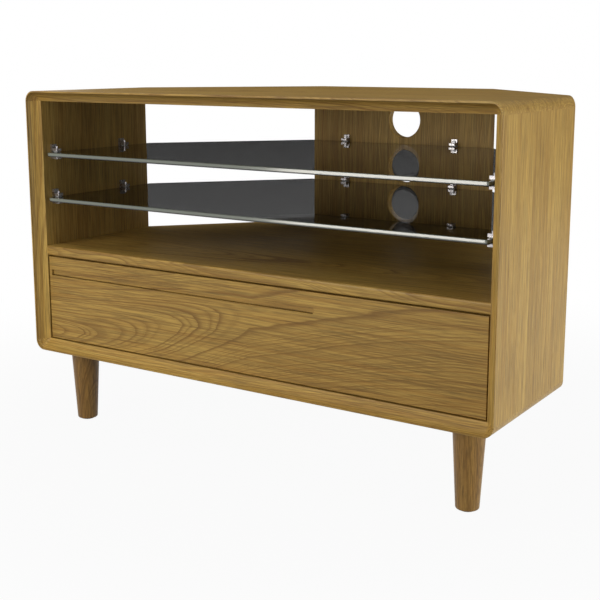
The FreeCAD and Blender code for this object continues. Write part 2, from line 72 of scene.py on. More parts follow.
def add(tree, kind, settings=None, inputs=None, stops=()):
    """Adds a node.  settings are its properties.  inputs gives each socket, by name or number, a
    value, a socket or a node, whose first output is taken; a list feeds one socket several times.
    stops are a colour ramp's (place, grey value or linear colour)."""
    node = tree.nodes.new(kind)
    for name, value in (settings or {}).items():
        setattr(node, name, value)
    for name, sources in (inputs or {}).items():
        for source in sources if isinstance(sources, list) else [sources]:
            if isinstance(source, bpy.types.Node):
                source = source.outputs[0]
            if isinstance(source, bpy.types.NodeSocket):
                tree.links.new(source, node.inputs[name])
            else:
                node.inputs[name].default_value = source
    for _ in stops[2:]:
        node.color_ramp.elements.new(1.0)
    for i, (place, value) in enumerate(stops):
        element = node.color_ramp.elements[i]
        element.position = place
        element.color = value if isinstance(value, tuple) else (value, value, value, 1)
    return node


def new_material(name):
    """An empty material with its output, ready for a shader."""
    made = bpy.data.materials.new(name)
    made.use_nodes = True
    made.node_tree.nodes.clear()
    output = made.node_tree.nodes.new("ShaderNodeOutputMaterial")
    return made, made.node_tree, output


# ---------------------------------------------------------------------------------------- timber


def grain_frame(tree, along, across):
    """Object coordinates in millimetres, sorted into along the grain, across it on the board's
    face, and down into the board."""
    place = add(tree, "ShaderNodeTexCoord").outputs["Object"]
    parts = add(tree, "ShaderNodeSeparateXYZ", inputs={"Vector": place})
    depth = next(axis for axis in "XYZ" if axis not in (along, across))
    return [
        add(tree, "ShaderNodeMath", {"operation": "MULTIPLY"}, {0: parts.outputs[axis], 1: 1 / MM})
        for axis in (along, across, depth)
    ]


def long_grain(tree, frame_mm, lengths, shift, detail=2.0, roughness=0.55):
    """Wood fibre as noise whose grains are lengths (along, across, depth) millimetres long; shift
    moves it along, so that two boards never match."""
    scaled = [
        add(tree, "ShaderNodeMath", {"operation": "DIVIDE"}, {0: axis, 1: length})
        for axis, length in zip(frame_mm, lengths)
    ]
    moved = add(tree, "ShaderNodeMath", {"operation": "ADD"}, {0: scaled[0], 1: shift})
    place = add(tree, "ShaderNodeCombineXYZ", inputs={"X": moved, "Y": scaled[1], "Z": scaled[2]})
    return add(
        tree,
        "ShaderNodeTexNoise",
        inputs={"Scale": 1.0, "Detail": detail, "Roughness": roughness, "Vector": place},
    )


def growth_rings(tree, frame_mm, tone, shift, heart, ring, wander, spread):
    """Share of open early wood at each point, 0 to 1: rings round a heart that sinks away from
    the face along the board."""
    length_mm, width_mm, depth_mm = frame_mm
    (near_along, near_across, near_depth), (far_along, far_across, far_depth) = heart

    # the figure sways slowly and ripples a little
    sway_lengths, ripple_lengths, ripple_mm = (520, 110, 110), (160, 14, 14), 3.0
    sway = long_grain(tree, frame_mm, sway_lengths, shift, detail=1.5)
    sway = add(tree, "ShaderNodeMath", {"operation": "SUBTRACT"}, {0: sway, 1: 0.5})
    sway = add(tree, "ShaderNodeMath", {"operation": "MULTIPLY"}, {0: sway, 1: 2 * wander})
    ripple = long_grain(tree, frame_mm, ripple_lengths, shift, detail=3.0)
    ripple = add(tree, "ShaderNodeMath", {"operation": "SUBTRACT"}, {0: ripple, 1: 0.5})
    ripple = add(tree, "ShaderNodeMath", {"operation": "MULTIPLY"}, {0: ripple, 1: ripple_mm})

    # how far a point lies aside of the heart and below it
    drift = add(
        tree,
        "ShaderNodeMapRange",
        {"interpolation_type": "SMOOTHSTEP"},
        {
            "Value": length_mm,
            "From Min": near_along,
            "From Max": far_along,
            "To Min": near_across,
            "To Max": far_across,
        },
    )
    aside = add(tree, "ShaderNodeMath", {"operation": "SUBTRACT"}, {0: width_mm, 1: drift})
    stave_shift = add(tree, "ShaderNodeMath", {"operation": "MULTIPLY"}, {0: tone, 1: spread})
    aside = add(tree, "ShaderNodeMath", {"operation": "ADD"}, {0: aside, 1: stave_shift})
    aside = add(tree, "ShaderNodeMath", {"operation": "ADD"}, {0: aside, 1: sway})
    sink = add(
        tree,
        "ShaderNodeMapRange",
        inputs={
            "Value": length_mm,
            "From Min": near_along,
            "From Max": (near_along + far_along) / 2,
            "To Min": near_depth,
            "To Max": far_depth,
        },
    )
    below = add(tree, "ShaderNodeMath", {"operation": "SUBTRACT"}, {0: depth_mm, 1: sink})
    aside = add(tree, "ShaderNodeMath", {"operation": "POWER"}, {0: aside, 1: 2})
    below = add(tree, "ShaderNodeMath", {"operation": "POWER"}, {0: below, 1: 2})
    radius = add(tree, "ShaderNodeMath", {"operation": "ADD"}, {0: aside, 1: below})
    radius = add(tree, "ShaderNodeMath", {"operation": "SQRT"}, {0: radius})
    radius = add(tree, "ShaderNodeMath", {"operation": "ADD"}, {0: radius, 1: ripple})

    # good and poor years: rings differ in width, and in how strongly they show
    uneven_scale, uneven_mm = 0.06, 22
    uneven = add(
        tree,
        "ShaderNodeTexNoise",
        {"noise_dimensions": "1D"},
        {"W": radius, "Scale": uneven_scale, "Detail": 1.0},
    )
    uneven = add(tree, "ShaderNodeMath", {"operation": "MULTIPLY"}, {0: uneven, 1: uneven_mm})
    radius = add(tree, "ShaderNodeMath", {"operation": "ADD"}, {0: radius, 1: uneven})
    rings = add(tree, "ShaderNodeMath", {"operation": "DIVIDE"}, {0: radius, 1: ring})
    number = add(tree, "ShaderNodeMath", {"operation": "FLOOR"}, {0: rings})
    year = add(tree, "ShaderNodeTexWhiteNoise", {"noise_dimensions": "1D"}, {"W": number})
    strength = add(tree, "ShaderNodeMath", {"operation": "MULTIPLY"}, {0: year, 1: 0.7})
    strength = add(tree, "ShaderNodeMath", {"operation": "ADD"}, {0: strength, 1: 0.3})
    phase = add(tree, "ShaderNodeMath", {"operation": "FRACT"}, {0: rings})
    early = add(
        tree,
        "ShaderNodeValToRGB",
        inputs={"Fac": phase},
        stops=[(0.0, 0.35), (0.07, 1.0), (0.22, 0.75), (0.45, 0.22), (0.75, 0.04), (1.0, 0.35)],
    )
    return add(tree, "ShaderNodeMath", {"operation": "MULTIPLY"}, {0: early, 1: strength})


def timber(name, along, across, palette, staves, heart, ring=4.2, seed=0.0, line=1.0, wander=30, spread=90):
    """Solid or veneered timber under satin lacquer.

    palette: dark, middle and light hex colours.  staves: (start mm, tone 0 to 1) of each glued
    stave, measured across the board.  heart: the tree's heart as two places, each (along mm,
    across mm, depth mm); rings close into pointed arches where it comes near the face, and run
    straight where it lies deep or aside.  ring: growth ring width in mm.  line: strength of the
    ring lines.  wander: how far in mm the figure strays.  spread: how far in mm a stave's tone
    moves its figure aside."""
    material, tree, output = new_material(name)
    frame_mm = grain_frame(tree, along, across)

    last_stave_mm, tone_to_shift = 400, 37.0
    first, last = staves[0][0], staves[-1][0] + last_stave_mm
    place = add(tree, "ShaderNodeMath", {"operation": "SUBTRACT"}, {0: frame_mm[1], 1: first})
    settings = {"operation": "DIVIDE", "use_clamp": True}
    place = add(tree, "ShaderNodeMath", settings, {0: place, 1: last - first})
    tone = add(
        tree,
        "ShaderNodeValToRGB",
        inputs={"Fac": place},
        stops=[((start - first) / (last - first), value) for start, value in staves],
    )
    tone.color_ramp.interpolation = "CONSTANT"
    shift = add(tree, "ShaderNodeMath", {"operation": "MULTIPLY"}, {0: tone, 1: tone_to_shift})
    shift = add(tree, "ShaderNodeMath", {"operation": "ADD"}, {0: shift, 1: seed})
    porous = growth_rings(tree, frame_mm, tone, shift, heart, ring, wander, spread)

    # lengths are in mm along, across and into the board.  Real fibres are 0.03 mm wide, too fine
    # to show, so they are drawn as bundles 2 mm wide.  Real pores are 0.3 mm wide and 5 mm long,
    # and are drawn four times as coarse.
    streak_lengths, fibre_lengths = (300, 7, 7), (90, 2.0, 2.0)
    cloud_lengths, pore_lengths = (420, 130, 130), (22, 1.2, 1.2)
    streak = long_grain(tree, frame_mm, streak_lengths, shift, detail=4.0, roughness=0.65)
    fibre = long_grain(tree, frame_mm, fibre_lengths, shift, detail=3.0, roughness=0.7)
    cloud = long_grain(tree, frame_mm, cloud_lengths, shift, detail=2.0)
    pore = long_grain(tree, frame_mm, pore_lengths, shift, detail=1.0)
    pore_stops = [(0.0, 0.0), (0.55, 0.0), (0.68, 1.0), (1.0, 1.0)]
    pores = add(tree, "ShaderNodeValToRGB", inputs={"Fac": pore}, stops=pore_stops)
    crowd = add(tree, "ShaderNodeMath", {"operation": "MULTIPLY"}, {0: porous, 1: 0.8})
    crowd = add(tree, "ShaderNodeMath", {"operation": "ADD"}, {0: crowd, 1: 0.2})
    open_pores = add(tree, "ShaderNodeMath", {"operation": "MULTIPLY"}, {0: pores, 1: crowd})
    patchy = add(tree, "ShaderNodeValToRGB", inputs={"Fac": fibre}, stops=[(0.25, 0.35), (0.62, 1.0)])
    lines = add(tree, "ShaderNodeMath", {"operation": "MULTIPLY"}, {0: porous, 1: patchy})
    lines = add(tree, "ShaderNodeMath", {"operation": "MULTIPLY"}, {0: lines, 1: line})
    pore_share = add(tree, "ShaderNodeMath", {"operation": "MULTIPLY"}, {0: open_pores, 1: 0.6})

    # colour: light and middle streaks, dark ring lines and pores, then warm clouds and stave tones
    dark, middle, light = (linear(colour) for colour in palette)
    streaks = add(tree, "ShaderNodeValToRGB", inputs={"Fac": streak}, stops=[(0.36, middle), (0.60, light)])
    fibres = add(tree, "ShaderNodeValToRGB", inputs={"Fac": fibre}, stops=[(0.35, 0.46), (0.58, 1.0)])
    # these four are shares of the colour under them, and not colours themselves
    warm, plain = (0.84, 0.81, 0.76, 1), (1.0, 1.0, 1.0, 1)
    warmth = add(tree, "ShaderNodeValToRGB", inputs={"Fac": cloud}, stops=[(0.32, warm), (0.68, plain)])
    deep, pale = (0.84, 0.81, 0.77, 1), (1.06, 1.07, 1.08, 1)
    stave = add(tree, "ShaderNodeValToRGB", inputs={"Fac": tone}, stops=[(0.0, deep), (1.0, pale)])
    body = streaks.outputs[0]
    for blend, share, layer in (
        ("MULTIPLY", 1.0, fibres),
        ("MIX", lines, dark),
        ("MIX", pore_share, dark),
        ("MULTIPLY", 1.0, warmth),
        ("MULTIPLY", 1.0, stave),
    ):
        settings = {"data_type": "RGBA", "blend_type": blend}
        body = add(tree, "ShaderNodeMix", settings, {0: share, 6: body, 7: layer}).outputs[2]

    # satin lacquer follows the pores, so they are duller and lie a little lower
    lacquer_roughness = 0.38
    gloss = add(tree, "ShaderNodeMath", {"operation": "MULTIPLY"}, {0: open_pores, 1: 0.20})
    gloss = add(tree, "ShaderNodeMath", {"operation": "ADD"}, {0: gloss, 1: lacquer_roughness})
    fibre_gloss = add(tree, "ShaderNodeMath", {"operation": "MULTIPLY"}, {0: fibre, 1: 0.10})
    gloss = add(tree, "ShaderNodeMath", {"operation": "ADD"}, {0: gloss, 1: fibre_gloss})
    relief = add(tree, "ShaderNodeMath", {"operation": "MULTIPLY"}, {0: fibre, 1: 0.25})
    relief = add(tree, "ShaderNodeMath", {"operation": "SUBTRACT"}, {0: relief, 1: open_pores})
    line_relief = add(tree, "ShaderNodeMath", {"operation": "MULTIPLY"}, {0: lines, 1: 0.35})
    relief = add(tree, "ShaderNodeMath", {"operation": "SUBTRACT"}, {0: relief, 1: line_relief})
    bump = add(tree, "ShaderNodeBump", inputs={"Strength": 0.35, "Distance": 0.12 * MM, "Height": relief})
    shader = add(
        tree,
        "ShaderNodeBsdfPrincipled",
        inputs={
            "IOR": 1.5,
            "Specular IOR Level": 0.32,
            "Base Color": body,
            "Roughness": gloss,
            "Normal": bump,
        },
    )
    tree.links.new(shader.outputs[0], output.inputs["Surface"])
    return material


# ------------------------------------------------------------------------ glass, metal and small


def smoked_glass():
    """Grey float glass with ground and polished edges: the faces let a little grey light through,
    and the edges are pale grey-green, with painted light on their upper part and painted shade on their lower
    part."""
    material, tree, output = new_material("smoked_float_glass")
    normal = add(tree, "ShaderNodeNewGeometry").outputs["True Normal"]
    upright = add(tree, "ShaderNodeSeparateXYZ", inputs={"Vector": normal}).outputs["Z"]
    flat = add(tree, "ShaderNodeMath", {"operation": "ABSOLUTE"}, {0: upright})
    # 1 on the flat faces, falling to 0 on the edges
    sharpness = 6.0
    flat = add(tree, "ShaderNodeMath", {"operation": "POWER"}, {0: flat, 1: sharpness})
    pane = add(
        tree,
        "ShaderNodeBsdfPrincipled",
        inputs={
            "Base Color": linear("#5E5E5E"),
            "Roughness": 0.0,
            "IOR": 1.5,
            "Transmission Weight": 1.0,
            "Specular IOR Level": 0.1,
        },
    )

    # how far up the edge a point lies, 0 to 1, and the round that the edge was ground to
    lower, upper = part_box("lower_glass_shelf"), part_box("upper_glass_shelf")
    thickness = lower[1].z - lower[0].z
    pitch = upper[0].z - lower[0].z
    spare = 1 * MM
    place = add(tree, "ShaderNodeTexCoord").outputs["Object"]
    height = add(tree, "ShaderNodeSeparateXYZ", inputs={0: place}).outputs["Z"]
    climb = add(tree, "ShaderNodeMath", {"operation": "SUBTRACT"}, {0: height, 1: lower[0].z - spare})
    climb = add(tree, "ShaderNodeMath", {"operation": "FLOORED_MODULO"}, {0: climb, 1: pitch})
    climb = add(tree, "ShaderNodeMath", {"operation": "SUBTRACT"}, {0: climb, 1: spare})
    climb = add(tree, "ShaderNodeMath", {"operation": "DIVIDE"}, {0: climb, 1: thickness})
    slant = 0.17
    rise = add(tree, "ShaderNodeMath", {"operation": "MULTIPLY"}, {0: climb, 1: slant})
    fall = add(tree, "ShaderNodeMath", {"operation": "POWER"}, {0: climb, 1: 2})
    curve = add(tree, "ShaderNodeMath", {"operation": "SUBTRACT"}, {0: rise, 1: fall})
    rounding = add(tree, "ShaderNodeBump", inputs={"Strength": 1.0, "Distance": 1.2 * MM, "Height": curve})
    # painted light and shade on one glass edge: a pale colour on the upper part stands in for the lamps'
    # light, and a dark colour on the lower part is painted shade
    edge_painted_shade, edge_painted_light = linear("#23261F"), linear("#6A7166")
    tint = add(tree, "ShaderNodeValToRGB", inputs={"Fac": climb}, stops=[(0.22, edge_painted_shade), (0.40, edge_painted_light)])
    edge = add(
        tree,
        "ShaderNodeBsdfPrincipled",
        inputs={
            "IOR": 1.5,
            "Roughness": 0.12,
            "Specular IOR Level": 1.0,
            "Base Color": tint,
            "Normal": rounding,
        },
    )

    # the lamps shine through it too, so that the bays below aren't black
    sheet = add(tree, "ShaderNodeMixShader", inputs={0: flat, 1: edge, 2: pane})
    through = add(tree, "ShaderNodeBsdfTransparent", inputs={"Color": linear("#6A6A6A")})
    shadow = add(tree, "ShaderNodeLightPath").outputs["Is Shadow Ray"]
    lamps = add(tree, "ShaderNodeMixShader", inputs={0: shadow, 1: sheet, 2: through})
    tree.links.new(lamps.outputs[0], output.inputs["Surface"])
    return material


def metal(name, colour, roughness, grain_mm, contrast):
    """Bare or plated metal with a fine mottled finish; contrast is how much the finish varies.
    Real plating is mottled ten times finer than grain_mm, and is drawn coarser so that it shows."""
    material, tree, output = new_material(name)
    place = add(tree, "ShaderNodeTexCoord").outputs["Object"]
    spots = add(
        tree, "ShaderNodeTexNoise", inputs={"Scale": 1 / (grain_mm * MM), "Detail": 4.0, "Vector": place}
    )
    smooth, rough = roughness * (1 - contrast), roughness * (1 + contrast)
    gloss = add(tree, "ShaderNodeValToRGB", inputs={"Fac": spots}, stops=[(0.3, smooth), (0.7, rough)])
    tint = linear(colour)
    shade = tuple(c * (1 - 0.35 * contrast) for c in tint[:3]) + (1,)
    body = add(tree, "ShaderNodeValToRGB", inputs={"Fac": spots}, stops=[(0.3, shade), (0.7, tint)])
    bump = add(
        tree, "ShaderNodeBump", inputs={"Strength": 0.2 * contrast, "Distance": 0.05 * MM, "Height": spots}
    )
    shader = add(
        tree,
        "ShaderNodeBsdfPrincipled",
        inputs={"Metallic": 1.0, "Base Color": body, "Roughness": gloss, "Normal": bump},
    )
    tree.links.new(shader.outputs[0], output.inputs["Surface"])
    return material


def soft(name, colour, roughness, grain_mm, depth_mm):
    """Felt or clear pad: matt, with fine speckle.  Real felt hairs are 0.02 mm thick, and are drawn
    as tufts grain_mm wide so that they show."""
    material, tree, output = new_material(name)
    place = add(tree, "ShaderNodeTexCoord").outputs["Object"]
    speck = add(
        tree, "ShaderNodeTexNoise", inputs={"Scale": 1 / (grain_mm * MM), "Detail": 5.0, "Vector": place}
    )
    tint = linear(colour)
    shade = tuple(c * 0.6 for c in tint[:3]) + (1,)
    body = add(tree, "ShaderNodeValToRGB", inputs={"Fac": speck}, stops=[(0.3, shade), (0.7, tint)])
    bump = add(tree, "ShaderNodeBump", inputs={"Strength": 0.6, "Distance": depth_mm * MM, "Height": speck})
    shader = add(
        tree,
        "ShaderNodeBsdfPrincipled",
        inputs={"Roughness": roughness, "Sheen Weight": 0.2, "Base Color": body, "Normal": bump},
    )
    tree.links.new(shader.outputs[0], output.inputs["Surface"])
    return material


# ------------------------------------------------------------------------- finishes on CAD nodes


def finish(material, *nodes):
    """Gives CAD nodes a better material."""
    for node in nodes:
        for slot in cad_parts[node].material_slots:
            slot.link = "OBJECT"
            slot.material = material


def glued_staves(start, *widths_and_tones):
    """Places where glued staves start, in mm across a board, with each one's tone."""
    places = []
    for width, tone in widths_and_tones:
        places.append((start, tone))
        start += width
    return places


OAK = ("#75521F", "#B89147", "#D0AD5C")
LEG_OAK = ("#65451B", "#957038", "#AA8546")
ASH_PALE = ("#A98B5C", "#CDB487", "#DCC79C")
BEECH = ("#B08A5C", "#CFAE82", "#DDC199")

front_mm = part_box("right_side_panel")[0].y / MM
side_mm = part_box("right_side_panel")[1].x / MM
top_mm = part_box("top_panel")[1].z / MM
shelf_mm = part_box("middle_shelf")[1].z / MM
under_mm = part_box("bottom_panel")[0].z / MM
back_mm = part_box("back_panel")[0].y / MM
face_low, face_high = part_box("drawer_front")
face_left, face_right, face_mm = face_low.x / MM, face_high.x / MM, face_low.y / MM
face_middle = (face_low.z + face_high.z) / 2 / MM

# solid oak in glued staves, sanded and sprayed with satin lacquer: golden, with a soft sheen
finish(
    timber(
        "oak_top_board", "X", "Y", OAK,
        glued_staves(front_mm, (84, 0.55), (106, 0.75), (120, 0.4), (120, 0.65), (115, 0.5), (90, 0.7)),
        ((-700, -60, top_mm - 14), (1500, 60, top_mm - 90)), seed=2.0,
    ),
    "top_panel",
)
finish(
    timber(
        "oak_bottom_board", "X", "Y", OAK,
        glued_staves(front_mm, (120, 0.8), (140, 0.45), (200, 0.7)),
        ((-700, 60, under_mm + 10), (1500, 120, under_mm + 90)), seed=11.0, line=0.7,
    ),
    "bottom_panel",
)
finish(
    timber(
        "oak_right_side_board", "Z", "Y", OAK,
        glued_staves(front_mm, (92, 0.75), (35, 0.95), (67, 0.3), (120, 0.6)),
        ((-200, -480, side_mm - 60), (1600, -420, side_mm - 110)), seed=5.0, line=0.55,
    ),
    "right_side_panel",
)
finish(
    timber(
        "oak_left_side_board", "Z", "Y", OAK,
        glued_staves(front_mm, (55, 0.9), (105, 0.45), (70, 0.6), (120, 0.4)),
        ((-200, -460, 60 - side_mm), (1600, -400, 110 - side_mm)), seed=8.0, line=0.6,
    ),
    "left_side_panel",
)
finish(
    timber(
        "oak_middle_shelf", "X", "Y", OAK,
        glued_staves(front_mm, (110, 0.7), (130, 0.5), (140, 0.6), (260, 0.45)),
        ((-600, -140, shelf_mm - 12), (1400, -60, shelf_mm - 80)), seed=14.0,
    ),
    "middle_shelf",
)

# crown-cut oak veneer on the drawer front: pointed arches that open out into long grain
finish(
    timber(
        "oak_drawer_front", "X", "Z", OAK, glued_staves(face_low.z / MM, (200, 0.35)),
        ((face_left - 20, face_middle - 32, face_mm + 3), (face_right + 60, face_middle + 150, face_mm + 82)),
        seed=3.0, ring=5.0, wander=14,
    ),
    "drawer_front",
)

# quarter-cut oak veneer on board, laid upright: fine straight lines
finish(
    timber(
        "oak_veneer_back", "Z", "X", OAK,
        glued_staves(-230, (150, 0.5), (140, 0.6), (90, 0.45), (90, 0.62)),
        ((100, -460, back_mm + 60), (1200, -400, back_mm + 120)), seed=21.0, line=0.7,
    ),
    "back_panel", "left_corner_panel", "right_corner_panel",
)

# oak turned on a lathe and lacquered: a shade darker, with long arches down the cone
finish(
    timber(
        "oak_turned_leg", "Z", "X", LEG_OAK, glued_staves(-600, (1200, 0.45)),
        ((10, 0, -216), (420, 0, -120)), seed=31.0, line=0.9, ring=4.5, spread=430,
    ),
    "front_left_leg", "front_right_leg", "rear_left_leg", "rear_right_leg",
)

# planed ash under thin lacquer inside the drawer: pale, with faint rings
pale_heart = ((-600, 330, 0), (1200, 360, 60))
finish(
    timber(
        "pale_drawer_box_wood", "X", "Z", ASH_PALE, glued_staves(100, (300, 0.5)),
        pale_heart, seed=41.0, line=0.4,
    ),
    "drawer_box_front", "drawer_back",
)
finish(
    timber(
        "pale_drawer_side_wood", "Y", "Z", ASH_PALE, glued_staves(100, (300, 0.5)),
        pale_heart, seed=44.0, line=0.4,
    ),
    "drawer_left_side", "drawer_right_side",
)
finish(
    timber(
        "pale_drawer_floor_wood", "X", "Y", ASH_PALE, glued_staves(-400, (700, 0.5)),
        ((-600, 30, 190), (1200, 80, 150)), seed=47.0, line=0.4,
    ),
    "drawer_floor",
)

# beech rod, left bare: pale pink-brown
finish(
    timber(
        "beech_dowel", "Z", "X", BEECH, glued_staves(-600, (1200, 0.5)),
        ((-600, 0, 12), (1200, 0, 40)), seed=51.0, line=0.3,
    ),
    "dowels",
)

finish(smoked_glass(), "lower_glass_shelf", "upper_glass_shelf")
# chrome plate on a tumbled casting: bright, with slightly soft reflections
finish(metal("polished_chrome_plate", "#A9A6A8", 0.30, 3.0, 0.3), "glass_clips", "clip_set_screws")
# bright zinc plate: cool grey, finely mottled
finish(
    metal("zinc_plated_steel", "#B4B6BA", 0.34, 1.2, 0.5),
    "cabinet_rail_screws", "drawer_rail_screws", "drawer_front_screws", "leg_bolts", "leg_inserts",
)
# cold-rolled sheet, galvanised and greased: grey, with broad soft spangle
finish(
    metal("galvanised_runner_steel", "#A3A6AB", 0.30, 4.0, 0.6),
    "left_cabinet_rail", "right_cabinet_rail", "left_middle_rail", "right_middle_rail", "left_drawer_rail",
    "right_drawer_rail",
)
# pressed steel strip round hard balls: darker and shinier than the rails
finish(
    metal("pressed_cage_steel", "#8E9095", 0.25, 2.0, 0.4),
    "left_outer_ball_cages", "right_outer_ball_cages", "left_inner_ball_cages", "right_inner_ball_cages",
)
# moulded clear rubber: greyish and half matt
finish(soft("clear_rubber_pad", "#B9BCBC", 0.35, 1.0, 0.05), "clip_pads")
# pressed wool felt: dark brown, quite matt and fuzzy
finish(soft("pressed_brown_felt", "#4A4038", 0.95, 0.5, 0.3), "leg_glides")

# -------------------------------------------------------------------- cross-recessed wood screws


# how far below its face the head meets the shank, as a share of the head's depth
SHANK_START = 0.6


def screw_tree(material):
    """Geometry Nodes: a countersunk wood screw with a cross recess at every point of a mesh; the
    point's "facing" says which way its head looks, and the point is the middle of the head."""
    tree = bpy.data.node_groups.new("countersunk_screws", "GeometryNodeTree")
    tree.interface.new_socket("Seats", in_out="INPUT", socket_type="NodeSocketGeometry")
    for name in ("Head Radius", "Head Depth", "Shank Radius", "Length", "Recess Width", "Recess Depth"):
        tree.interface.new_socket(name, in_out="INPUT", socket_type="NodeSocketFloat")
    tree.interface.new_socket("Screws", in_out="OUTPUT", socket_type="NodeSocketGeometry")
    sizes = tree.nodes.new("NodeGroupInput").outputs

    # the shank is a hair slimmer than the cone's small end, and the recess outruns the head
    shank_share, recess_share = 0.98, 1.15
    head = add(
        tree,
        "GeometryNodeMeshCone",
        inputs={
            "Vertices": 24,
            "Radius Top": sizes["Head Radius"],
            "Radius Bottom": sizes["Shank Radius"],
            "Depth": sizes["Head Depth"],
        },
    )
    seat = add(tree, "ShaderNodeMath", {"operation": "MULTIPLY"}, {0: sizes["Head Depth"], 1: -1})
    seat = add(tree, "ShaderNodeCombineXYZ", inputs={"Z": seat})
    head = add(tree, "GeometryNodeTransform", inputs={"Geometry": head, "Translation": seat})
    slim = add(tree, "ShaderNodeMath", {"operation": "MULTIPLY"}, {0: sizes["Shank Radius"], 1: shank_share})
    shank = add(
        tree, "GeometryNodeMeshCylinder", inputs={"Vertices": 24, "Radius": slim, "Depth": sizes["Length"]}
    )
    half = add(tree, "ShaderNodeMath", {"operation": "MULTIPLY"}, {0: sizes["Length"], 1: -0.5})
    sunk = add(tree, "ShaderNodeMath", {"operation": "MULTIPLY"}, {0: sizes["Head Depth"], 1: SHANK_START})
    middle = add(tree, "ShaderNodeMath", {"operation": "SUBTRACT"}, {0: half, 1: sunk})
    middle = add(tree, "ShaderNodeCombineXYZ", inputs={"Z": middle})
    shank = add(tree, "GeometryNodeTransform", inputs={"Geometry": shank, "Translation": middle})
    body = add(tree, "GeometryNodeMeshBoolean", {"operation": "UNION"}, {"Mesh 2": [head, shank]})

    reach = add(tree, "ShaderNodeMath", {"operation": "MULTIPLY"}, {0: sizes["Head Radius"], 1: recess_share})
    tall = add(tree, "ShaderNodeMath", {"operation": "MULTIPLY"}, {0: sizes["Recess Depth"], 1: 2})
    arms = []
    for wide, long in ((reach, sizes["Recess Width"]), (sizes["Recess Width"], reach)):
        size = add(tree, "ShaderNodeCombineXYZ", inputs={"X": wide, "Y": long, "Z": tall})
        arms.append(add(tree, "GeometryNodeMeshCube", inputs={"Size": size}))
    screw = add(
        tree, "GeometryNodeMeshBoolean", {"operation": "DIFFERENCE"}, {"Mesh 1": body, "Mesh 2": arms}
    )
    facing = add(tree, "GeometryNodeInputNamedAttribute", {"data_type": "FLOAT_VECTOR"}, {"Name": "facing"})
    turn = add(tree, "FunctionNodeAlignRotationToVector", {"axis": "Z"}, {"Vector": facing})
    placed = add(
        tree,
        "GeometryNodeInstanceOnPoints",
        inputs={"Points": sizes["Seats"], "Instance": screw, "Rotation": turn},
    )
    solid = add(tree, "GeometryNodeRealizeInstances", inputs={"Geometry": placed})
    coated = add(tree, "GeometryNodeSetMaterial", inputs={"Geometry": solid, "Material": material})
    out = tree.nodes.new("NodeGroupOutput")
    tree.links.new(coated.outputs[0], out.inputs["Screws"])
    return tree


def loose_boxes(node):
    """Lowest and highest corner of each separate solid in a CAD node, from a merged copy."""
    copy = bmesh.new()
    copy.from_mesh(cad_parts[node].data)
    bmesh.ops.remove_doubles(copy, verts=copy.verts, dist=0.001 * MM)
    boxes = []
    unseen = set(copy.verts)
    while unseen:
        group = [unseen.pop()]
        for vert in group:
            for edge in vert.link_edges:
                other = edge.other_vert(vert)
                if other in unseen:
                    unseen.remove(other)
                    group.append(other)
        low = Vector(min(v.co[i] for v in group) for i in range(3))
        high = Vector(max(v.co[i] for v in group) for i in range(3))
        boxes.append((low, high))
    copy.free()
    return sorted(boxes, key=lambda box: tuple(round(c, 4) for c in box[0]))


def clip_screws():
    """The twelve screws that hold the glass clips, with heads that look into the cabinet."""
    boxes = loose_boxes("clip_wood_screws")
    seats, facings = [], []
    for low, high in boxes:
        middle, size = (low + high) / 2, high - low
        axis = max(range(3), key=lambda i: size[i])
        facing = Vector((0, 0, 0))
        facing[axis] = -1 if middle[axis] > 0 else 1
        seats.append(middle + facing * size[axis] / 2)
        facings.append(facing)
    mesh = bpy.data.meshes.new("clip_screw_seats")
    mesh.from_pydata(seats, [], [])
    attribute = mesh.attributes.new("facing", "FLOAT_VECTOR", "POINT")
    for item, facing in zip(attribute.data, facings):
        item.vector = facing
    holder = bpy.data.objects.new("clip_screw_seats", mesh)
    bpy.context.scene.collection.objects.link(holder)

    # bright zinc plate: cool grey, finely mottled
    tree = screw_tree(metal("zinc_plated_screw_steel", "#A9ABAE", 0.32, 1.2, 0.5))
    modifier = holder.modifiers.new("screws", "NODES")
    modifier.node_group = tree
    # the screws are all alike and lie level, so the last one gives their length and head
    low, high = boxes[-1]
    length, head_radius = max(high - low), (high - low).z / 2
    head_depth = 2.5 * MM
    sizes = {
        "Head Radius": head_radius,
        "Head Depth": head_depth,
        "Shank Radius": 1.8 * MM,
        "Length": length - SHANK_START * head_depth,
        "Recess Width": 0.9 * MM,
        "Recess Depth": 1.5 * MM,
    }
    for item in tree.interface.items_tree:
        if item.in_out == "INPUT" and item.name in sizes:
            modifier[item.identifier] = sizes[item.name]
    ready = holder.evaluated_get(bpy.context.evaluated_depsgraph_get())
    piece = bpy.data.objects.new("clip_screws", bpy.data.meshes.new_from_object(ready))
    bpy.context.scene.collection.objects.link(piece)
    bpy.data.objects.remove(holder)
    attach(piece, "root")
    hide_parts("clip_wood_screws")


clip_screws()

# ---------------------------------------------------------------------------- camera and studio

CAMERA_PLACE = Vector((1.1322, -1.8141, 0.7325))
CAMERA_YAW = math.radians(33.139)
CAMERA_PITCH = math.radians(10.592)
FOCAL_SHARE = 1.8119               # focal length over the frame's width
SHIFT = (-0.0090, -0.0633)

camera_data = bpy.data.cameras.new("camera")
camera = bpy.data.objects.new("camera", camera_data)
bpy.context.scene.collection.objects.link(camera)
camera_data.sensor_width = 36.0
camera_data.lens = FOCAL_SHARE * camera_data.sensor_width
camera_data.shift_x, camera_data.shift_y = SHIFT
camera.location = CAMERA_PLACE
ahead = Vector((
    -math.sin(CAMERA_YAW) * math.cos(CAMERA_PITCH),
    math.cos(CAMERA_YAW) * math.cos(CAMERA_PITCH),
    -math.sin(CAMERA_PITCH),
))
camera.rotation_euler = ahead.to_track_quat("-Z", "Y").to_euler()
bpy.context.scene.camera = camera


